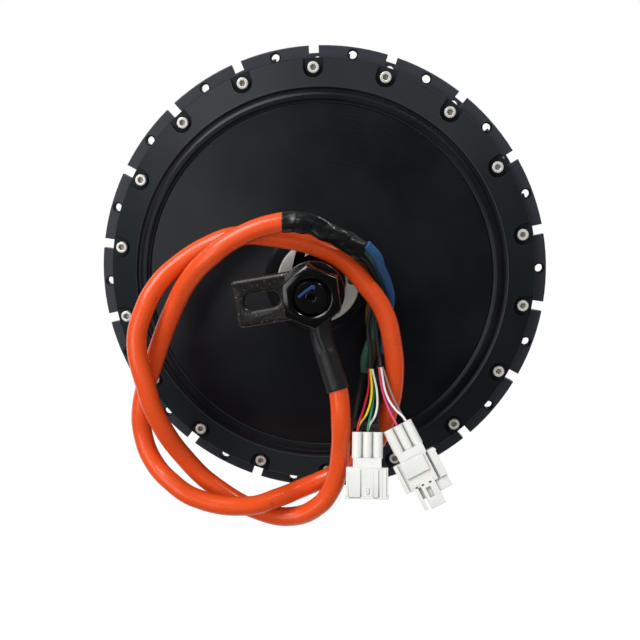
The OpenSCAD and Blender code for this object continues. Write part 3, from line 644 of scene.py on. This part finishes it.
def tube(name, path, radius, sides, material):
    """A closed tube mesh along a path. radius(s, angle) gives its surface, s from 0 to 1."""
    mesh = bmesh.new()
    across = None
    rings = []
    for i, centre in enumerate(path):
        way = (path[min(i + 1, len(path) - 1)] - path[max(i - 1, 0)]).normalized()
        if across is None:
            across = way.cross(Vector((0, 1, 0))).normalized()
        across = (across - way * across.dot(way)).normalized()
        other = way.cross(across)
        s = i / (len(path) - 1)
        ring = []
        for k in range(sides):
            angle = 2 * math.pi * k / sides
            out = math.cos(angle) * across + math.sin(angle) * other
            ring.append(mesh.verts.new(centre + radius(s, angle) * out))
        rings.append(ring)
    for first, second in zip(rings, rings[1:]):
        join_loops(mesh, first, second)
    mesh.faces.new(list(reversed(rings[0])))
    mesh.faces.new(rings[-1])
    return finished(mesh, name, material, smooth=True)


def closed_ring(mesh, outer, inner, low, high):
    """Adds a flat closed ring: outlines as (x, z) pairs and the y of both faces, in millimetres."""
    loops = [[mesh.verts.new((x * MM, y * MM, z * MM)) for x, z in outline]
             for outline, y in ((outer, low), (outer, high), (inner, high), (inner, low))]
    for first, second in zip(loops, loops[1:] + loops[:1]):
        join_loops(mesh, first, second)


# Operators

class HUBMOTOR_OT_housing(bpy.types.Operator):
    """Finish the shell, the covers, the brake mount and the screws"""

    bl_idname = "hubmotor.housing"
    bl_label = "Housing"

    def execute(self, context):
        dress(anodised_cover(), "cable_side_cover", "far_side_cover")
        dress(anodised_flange(), "hub_shell")
        softened(stainless_steel(), "stainless", 0.35, "cable_side_screws", "far_side_screws")
        softened(turned_steel("turned_stainless", "#F2F0EA"), "machined_steel", 0.5,
                 "brake_mount_ring")
        self.countersinks()
        dress(black_rubber(), "cable_side_shaft_seal", "far_side_shaft_seal",
              "cable_side_seal_ring", "far_side_seal_ring", "cable_grommet")
        return {"FINISHED"}

    def countersinks(self):
        """Painted shade of the chamfered ring round each spoke hole: a flat deep black ring on the
        outer face of both flanges.
        """
        rim, proud, sunk = 4.0, 0.05, 0.3
        turns = [math.pi * step / 16 for step in range(32)]
        mesh = bmesh.new()
        # The far flange's holes are turned by half a pitch, as the two sides' spokes take turns
        for side, first_hole in ((-1, 2), (1, 12)):
            for k in range(SPOKE_COUNT):
                angle = math.radians(first_hole + 360 / SPOKE_COUNT * k)
                x, z = SPOKE_CIRCLE_MM * math.cos(angle), SPOKE_CIRCLE_MM * math.sin(angle)
                outer, inner = ([(x + r * math.cos(t), z + r * math.sin(t)) for t in turns]
                                for r in (rim, SPOKE_HOLE_RADIUS_MM))
                closed_ring(mesh, outer, inner, side * (FLANGE_FACE_MM + proud),
                            side * (FLANGE_FACE_MM - sunk))
        # Anodised aluminium, countersunk, in painted shade: deep black, and too narrow for its tool
        # marks to show
        coat, _, _ = new_material("countersink_painted_shade", Base_Color=linear("#030304"), Roughness=0.4,
                                  Specular_IOR_Level=0.2)
        finished(mesh, "countersinks", coat, "rotor")


class HUBMOTOR_OT_axle(bpy.types.Operator):
    """Finish the axle, the nuts, the washers and the torque arm"""

    bl_idname = "hubmotor.axle"
    bl_label = "Axle and Torque Arm"

    def execute(self, context):
        plated = black_zinc_steel("black_zinc_steel")
        dress(black_zinc_steel("threaded_zinc_steel", threaded=True), "axle")
        softened(plated, "black_steel", 0.5, "cable_side_nut", "cable_side_washer", "far_side_nut",
                 "far_side_washer")
        softened(powder_coat(), "black_coat", 2.3, "torque_arm")
        self.centre_drill(plated)
        self.paint_mark()
        return {"FINISHED"}

    def centre_drill(self, material):
        """The thin raised rim that a centre drill leaves on the near tip of the axle."""
        proud = 0.05
        bpy.ops.mesh.primitive_torus_add(
            location=(0, (NEAR_TIP_MM - proud) * MM, 0), rotation=(math.pi / 2, 0, 0),
            major_radius=3.3 * MM, minor_radius=0.3 * MM, major_segments=48, minor_segments=8)
        rim = bpy.context.object
        rim.name = "centre_drill_rim"
        rim.data.materials.append(material)
        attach(rim, "stator")

    def paint_mark(self):
        """A blue paint pen stroke on the end of the axle, a little wider where it ends."""
        flattened = 0.15
        stroke = [(x, NEAR_TIP_MM, z)
                  for x, z in ((-8, 0), (-4, 3.4), (-0.4, 6), (1.8, 7.2), (1.7, 5.4))]
        # Paint from a pen, drawn by hand: a satin blue, thinner and so darker in patches
        paint, tree, shader = new_material("blue_paint", Roughness=0.35)
        patches = add(tree, "TexNoise", (add(tree, "TexCoord").outputs["Object"], grain(1.5), 3))
        feed(tree, shader.inputs["Base Color"], add(
            tree, "Mix", (patches, linear("#0F2856"), linear("#1C3E78")), data_type="RGBA"))
        mark = tube("paint_mark", smooth_path(stroke, 0.4 * MM),
                    lambda s, angle: (0.75 + 0.25 * s) * MM, 16, paint)
        for point in mark.data.vertices:
            point.co.y = (NEAR_TIP_MM + flattened * (point.co.y / MM - NEAR_TIP_MM)) * MM


class HUBMOTOR_OT_inside(bpy.types.Operator):
    """Finish the bearings, the stator and the rotor inside the housing"""

    bl_idname = "hubmotor.inside"
    bl_label = "Inside"

    def execute(self, context):
        dress(turned_steel("bearing_steel", "#C6C8CA"), "cable_side_bearing_outer",
              "far_side_bearing_outer", "cable_side_bearing_inner", "far_side_bearing_inner")
        dress(plain_metal("polished_steel", "#D5D7D9", 0.15), "cable_side_balls", "far_side_balls")
        dress(turned_steel("spacer_steel", "#A9ABAD"), "cable_side_spacer", "far_side_spacer")
        dress(plain_metal("spring_steel", "#8E9194", 0.35), "cable_side_circlip",
              "far_side_circlip", "axle_key")
        dress(plain_metal("cast_aluminium", "#B4B7B9", 0.5), "stator_carrier")
        dress(plain_metal("rolled_steel", "#6C6F72", 0.45, 4.0), "flux_ring")
        dress(plain_metal("nickel_plate", "#B9B6AC", 0.25), "magnets")
        dress(laminated_steel(), "stator_core")
        dress(enamelled_copper(), "windings")
        dress(circuit_board(), "hall_board")
        dress(soft_jacket("silicone_lead", linear("#8A3B2A")), "internal_leads")
        return {"FINISHED"}


class HUBMOTOR_OT_main_cable(bpy.types.Operator):
    """Lay the main cable, the sleeve at the axle and the tape where its cores part"""

    bl_idname = "hubmotor.main_cable"
    bl_label = "Main Cable"

    def execute(self, context):
        width = sizes().cable_width
        route = SLEEVE[:-1] + CABLE[:-1] + TAPE
        hidden = [*range(len(SLEEVE) - 1), *range(len(route) - len(TAPE) + 1, len(route))]
        jacket = soft_jacket("silicone_jacket", colours().cable, 0.24, "#8E3A20", 0.6)
        cable = wire("orange_cable", route, width, jacket, hidden)
        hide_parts("main_cable")
        sleeve = tube("cable_sleeve_skin", smooth_path(SLEEVE, 1 * MM), self.sleeve_radius, 40,
                      shrink_tube())
        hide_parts("cable_sleeve")
        tape = tube("vinyl_tape_wrap", smooth_path(TAPE, 0.8 * MM), self.tape_radius, 48,
                    vinyl_tape())
        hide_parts("cable_tape")
        length_of(route)
        return {"FINISHED"}

    def sleeve_radius(self, s, angle):
        """A crumpled boot for the upper half, then a smooth shrink tube over its lower end."""
        folds = noise.noise(Vector((1.3 * s, 2.3 * math.cos(angle), 2.3 * math.sin(angle))))
        if s > 0.5:
            return sizes().sleeve_width / 2 + (0.35 + 0.3 * folds) * MM
        return sizes().sleeve_width / 2 + 2.6 * MM * (0.2 - abs(folds))

    def tape_radius(self, s, angle):
        """Five turns of tape, each rising to a step, with creases that grow over the first quarter."""
        wrap = ((s * 5 + angle / (2 * math.pi)) % 1.0) * 0.3 * MM
        crease = noise.noise(Vector((5 * s, 1.5 * math.cos(angle), 1.5 * math.sin(angle))))
        return sizes().tape_width / 2 - 0.2 * MM + wrap + 1.7 * MM * crease * min(1, 4 * s)


class HUBMOTOR_OT_phase_wires(bpy.types.Operator):
    """Lay the three phase wires and their shrink tubes and lugs"""

    bl_idname = "hubmotor.phase_wires"
    bl_label = "Phase Wires"

    def execute(self, context):
        width = sizes().phase_width
        shrink = shrink_tube()
        # Tinned copper, darkened as painted shade, since the lugs sit in shadow behind the plugs
        tin = plain_metal("tinned_copper_painted_shade", "#7E7C77", 0.3, 1.0)
        for colour, visible in PHASES.items():
            end = PHASE_ENDS[colour]
            route = visible + end[1:2]
            jacket = soft_jacket(colour + "_jacket", getattr(colours(), colour), 0.45, "#26384A", 0.3)
            core = wire(colour + "_wire", route, width, jacket)
            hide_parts(colour + "_phase_wire")
            cap = tube(colour + "_shrink_tube", smooth_path(end, 1 * MM),
                       lambda s, angle: (width + 0.8 * MM) / 2 * (1 - 0.12 * s), 24, shrink)
            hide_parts(colour + "_wire_end")
            lug = self.lug(colour + "_lug", end[-1], tin)
            length_of(route)
        return {"FINISHED"}

    def lug(self, name, end, material):
        """A flat crimped lug below a wire's end: round tip, straight sides, one stud hole."""
        half, hole, thick, stud = 4.0, 2.1, 0.8, 7.5
        x, y, z = end
        outer, inner = [], []
        for k in range(48):
            across, up = math.cos(math.pi * k / 24), math.sin(math.pi * k / 24)
            reach = half if up <= 0 else min(half / max(abs(across), 0.01), (stud + 1) / up)
            outer.append((x + reach * across, z - stud + reach * up))
            inner.append((x + hole * across, z - stud + hole * up))
        mesh = bmesh.new()
        closed_ring(mesh, outer, inner, y - thick, y + thick)
        return finished(mesh, name, material)


class HUBMOTOR_OT_signal_wires(bpy.types.Operator):
    """Lay the two signal cables and the thin wires that go into the plugs"""

    bl_idname = "hubmotor.signal_wires"
    bl_label = "Signal Wires"

    def execute(self, context):
        width = sizes().signal_width
        jacket = soft_jacket("signal_jacket", linear("#202224"), 0.4, "#4A4B4C", 0.3)
        for letter, route in SIGNALS.items():
            lead = wire("signal_lead_" + letter, route, width, jacket)
            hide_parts("signal_cable_" + letter)
            length_of(route)
        width = sizes().wire_width
        for name, route in THIN_WIRES.items():
            code, slot = THIN_WIRE_SHADES[name]
            insulation = soft_jacket(name + "_insulation", linear(code), 0.35, "#4A4038", 0.15)
            thread = wire(name + "_lead", route, width, insulation)
            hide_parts(name + "_wire")
            length_of(route)
        return {"FINISHED"}


class HUBMOTOR_OT_plugs(bpy.types.Operator):
    """Finish the two white plugs"""

    bl_idname = "hubmotor.plugs"
    bl_label = "Plugs"

    def execute(self, context):
        softened(moulded_nylon(), "white_nylon", 0.4, "left_plug", "right_plug")
        self.terminal_seals()
        return {"FINISHED"}

    def terminal_seals(self):
        """Dark red seals that show at the top of the right plug's slots."""
        mesh = bmesh.new()
        turn = Matrix.Rotation(PLUG_LEAN, 4, "X") @ Matrix.Rotation(RIGHT_PLUG_TILT, 4, "Y")
        size = Matrix.Diagonal((1.7 * MM, 0.3 * MM, 0.9 * MM, 1))
        for spot in metres([(70, -131.9, -131.9), (74.1, -131.4, -130), (79, -130.8, -127.7)]):
            bmesh.ops.create_cube(mesh, size=1, matrix=Matrix.Translation(spot) @ turn @ size)
        # Silicone rubber, moulded: dull dark red, and too small for a grain to show
        red, _, _ = new_material("seal_red", Base_Color=linear("#5E0F16"), Roughness=0.5)
        finished(mesh, "terminal_seals", red)


class HUBMOTOR_OT_studio(bpy.types.Operator):
    """Set the floor, the lamps, the surroundings and the camera"""

    bl_idname = "hubmotor.studio"
    bl_label = "Studio"

    def execute(self, context):
        self.floor()
        self.surroundings()
        self.lamp("key", (-0.9, -0.9, 1.3), 1.0, 24)
        self.lamp("fill", (-1.0, -1.4, 0.1), 1.0, 7)
        self.lamp("strip", (0.8, -0.4, 1.2), 0.22, 5)
        # The front lamp only softens shadows: black metal doesn't mirror it
        self.lamp("front", (0.1, -1.5, -0.1), 1.0, 5).visible_glossy = False
        self.camera()
        context.scene.view_settings.view_transform = "Standard"
        return {"FINISHED"}

    def floor(self):
        """A small pale floor well below the motor, to catch its shadow, that fades out at its rim."""
        radius, below = 0.3, 0.5
        fade_from, fade_to = 0.05, 0.29
        bpy.ops.mesh.primitive_circle_add(vertices=96, radius=radius, fill_type="NGON",
                                          location=(0, 0, -below))
        floor = bpy.context.object
        floor.name = "studio_floor"
        # White board, matt: it takes the shadow and mirrors nothing
        material, tree, shader = new_material("pale_floor", Roughness=0.9)
        shader.inputs["Base Color"].default_value = linear("#FFFFFF")
        surface = shader.outputs["BSDF"].links[0].to_socket
        spot = add(tree, "TexCoord").outputs["Object"]
        reach = add(tree, "VectorMath", (spot,), operation="LENGTH")
        faded = add(tree, "MapRange", (reach, fade_from, fade_to, 0, 1))
        feed(tree, surface, add(tree, "MixShader", (faded, shader, add(tree, "BsdfTransparent"))))
        floor.data.materials.append(material)

    def surroundings(self):
        """A white backdrop for the eye and for mirrors, and a dim even light for the rest."""
        even_light, mirrored_light = 0.32, 0.05
        world = bpy.data.worlds.new("studio")
        bpy.context.scene.world = world
        world.use_nodes = True
        tree = world.node_tree
        tree.nodes.clear()
        ray = add(tree, "LightPath").outputs
        way = add(tree, "TexCoord").outputs["Generated"]
        back = add(tree, "SeparateXYZ", (way,)).outputs["Y"]
        behind = add(tree, "MapRange", (back, 0.1, 0.6, 0, 1))
        mirrored = add(tree, "Math", (ray["Is Glossy Ray"], behind), operation="MULTIPLY")
        seen = add(tree, "Math", (ray["Is Camera Ray"], mirrored), operation="MAXIMUM")
        white = add(tree, "Math", (seen, ray["Is Transmission Ray"]), operation="MAXIMUM")
        dim = add(tree, "MapRange", (ray["Is Glossy Ray"], 0, 1, even_light, mirrored_light))
        strength = add(tree, "MapRange", (white, 0, 1, dim, 1.0))
        add(tree, "OutputWorld", {"Surface": add(tree, "Background", ((1, 1, 1, 1), strength))})

    def lamp(self, name, spot, size, power):
        """A square lamp at a spot, turned to the middle of the motor."""
        data = bpy.data.lights.new(name, "AREA")
        data.size = size
        data.energy = power
        lamp = bpy.data.objects.new(name, data)
        bpy.context.scene.collection.objects.link(lamp)
        lamp.location = spot
        lamp.rotation_euler = (-Vector(spot)).to_track_quat("-Z", "Y").to_euler()
        return lamp

    def camera(self):
        """The photograph's view: a little above and to the right of the axle."""
        data = bpy.data.cameras.new("view")
        data.lens = sizes().lens
        data.sensor_width = 36
        camera = bpy.data.objects.new("view", data)
        bpy.context.scene.collection.objects.link(camera)
        turn, lift, roll = (math.radians(a) for a in (3.3537, 9.7558, -0.0803))
        away, side, drop = 0.7346, -0.0029, -0.03956
        back = Vector((math.sin(turn) * math.cos(lift), -math.cos(turn) * math.cos(lift),
                       math.sin(lift)))
        right = Vector((math.cos(turn), math.sin(turn), 0))
        up = back.cross(right)
        right, up = (math.cos(roll) * right + math.sin(roll) * up,
                     math.cos(roll) * up - math.sin(roll) * right)
        spot = right * side + up * drop + back * away
        facing = Matrix((right, up, back)).transposed().to_4x4()
        camera.matrix_world = Matrix.Translation(spot) @ facing
        bpy.context.scene.camera = camera


# The add-on

# The plugs come before the signal wires
STEPS = (HUBMOTOR_OT_studio, HUBMOTOR_OT_housing, HUBMOTOR_OT_axle, HUBMOTOR_OT_inside,
         HUBMOTOR_OT_main_cable, HUBMOTOR_OT_phase_wires, HUBMOTOR_OT_plugs,
         HUBMOTOR_OT_signal_wires)


class HUBMOTOR_PT_panel(bpy.types.Panel):
    """The sidebar panel that lists the steps"""

    bl_label = "Hub Motor"
    bl_idname = "HUBMOTOR_PT_panel"
    bl_space_type = "VIEW_3D"
    bl_region_type = "UI"
    bl_category = "Hub Motor"

    def draw(self, context):
        for step in STEPS:
            self.layout.operator(step.bl_idname)
        for group in (sizes(), colours()):
            for name in group.bl_rna.properties.keys():
                if name not in ("rna_type", "name"):
                    self.layout.prop(group, name)


CLASSES = (HubMotorSizes, HubMotorColours, *STEPS, HUBMOTOR_PT_panel)


def register():
    for cls in CLASSES:
        bpy.utils.register_class(cls)
    bpy.types.Scene.hub_motor_sizes = bpy.props.PointerProperty(type=HubMotorSizes)
    bpy.types.Scene.hub_motor_colours = bpy.props.PointerProperty(type=HubMotorColours)


def unregister():
    del bpy.types.Scene.hub_motor_sizes
    del bpy.types.Scene.hub_motor_colours
    for cls in reversed(CLASSES):
        bpy.utils.unregister_class(cls)


def main():
    """Runs the steps in order."""
    register()
    for step in STEPS:
        group, name = step.bl_idname.split(".")
        getattr(getattr(bpy.ops, group), name)()


if __name__ == "__main__":
    main()
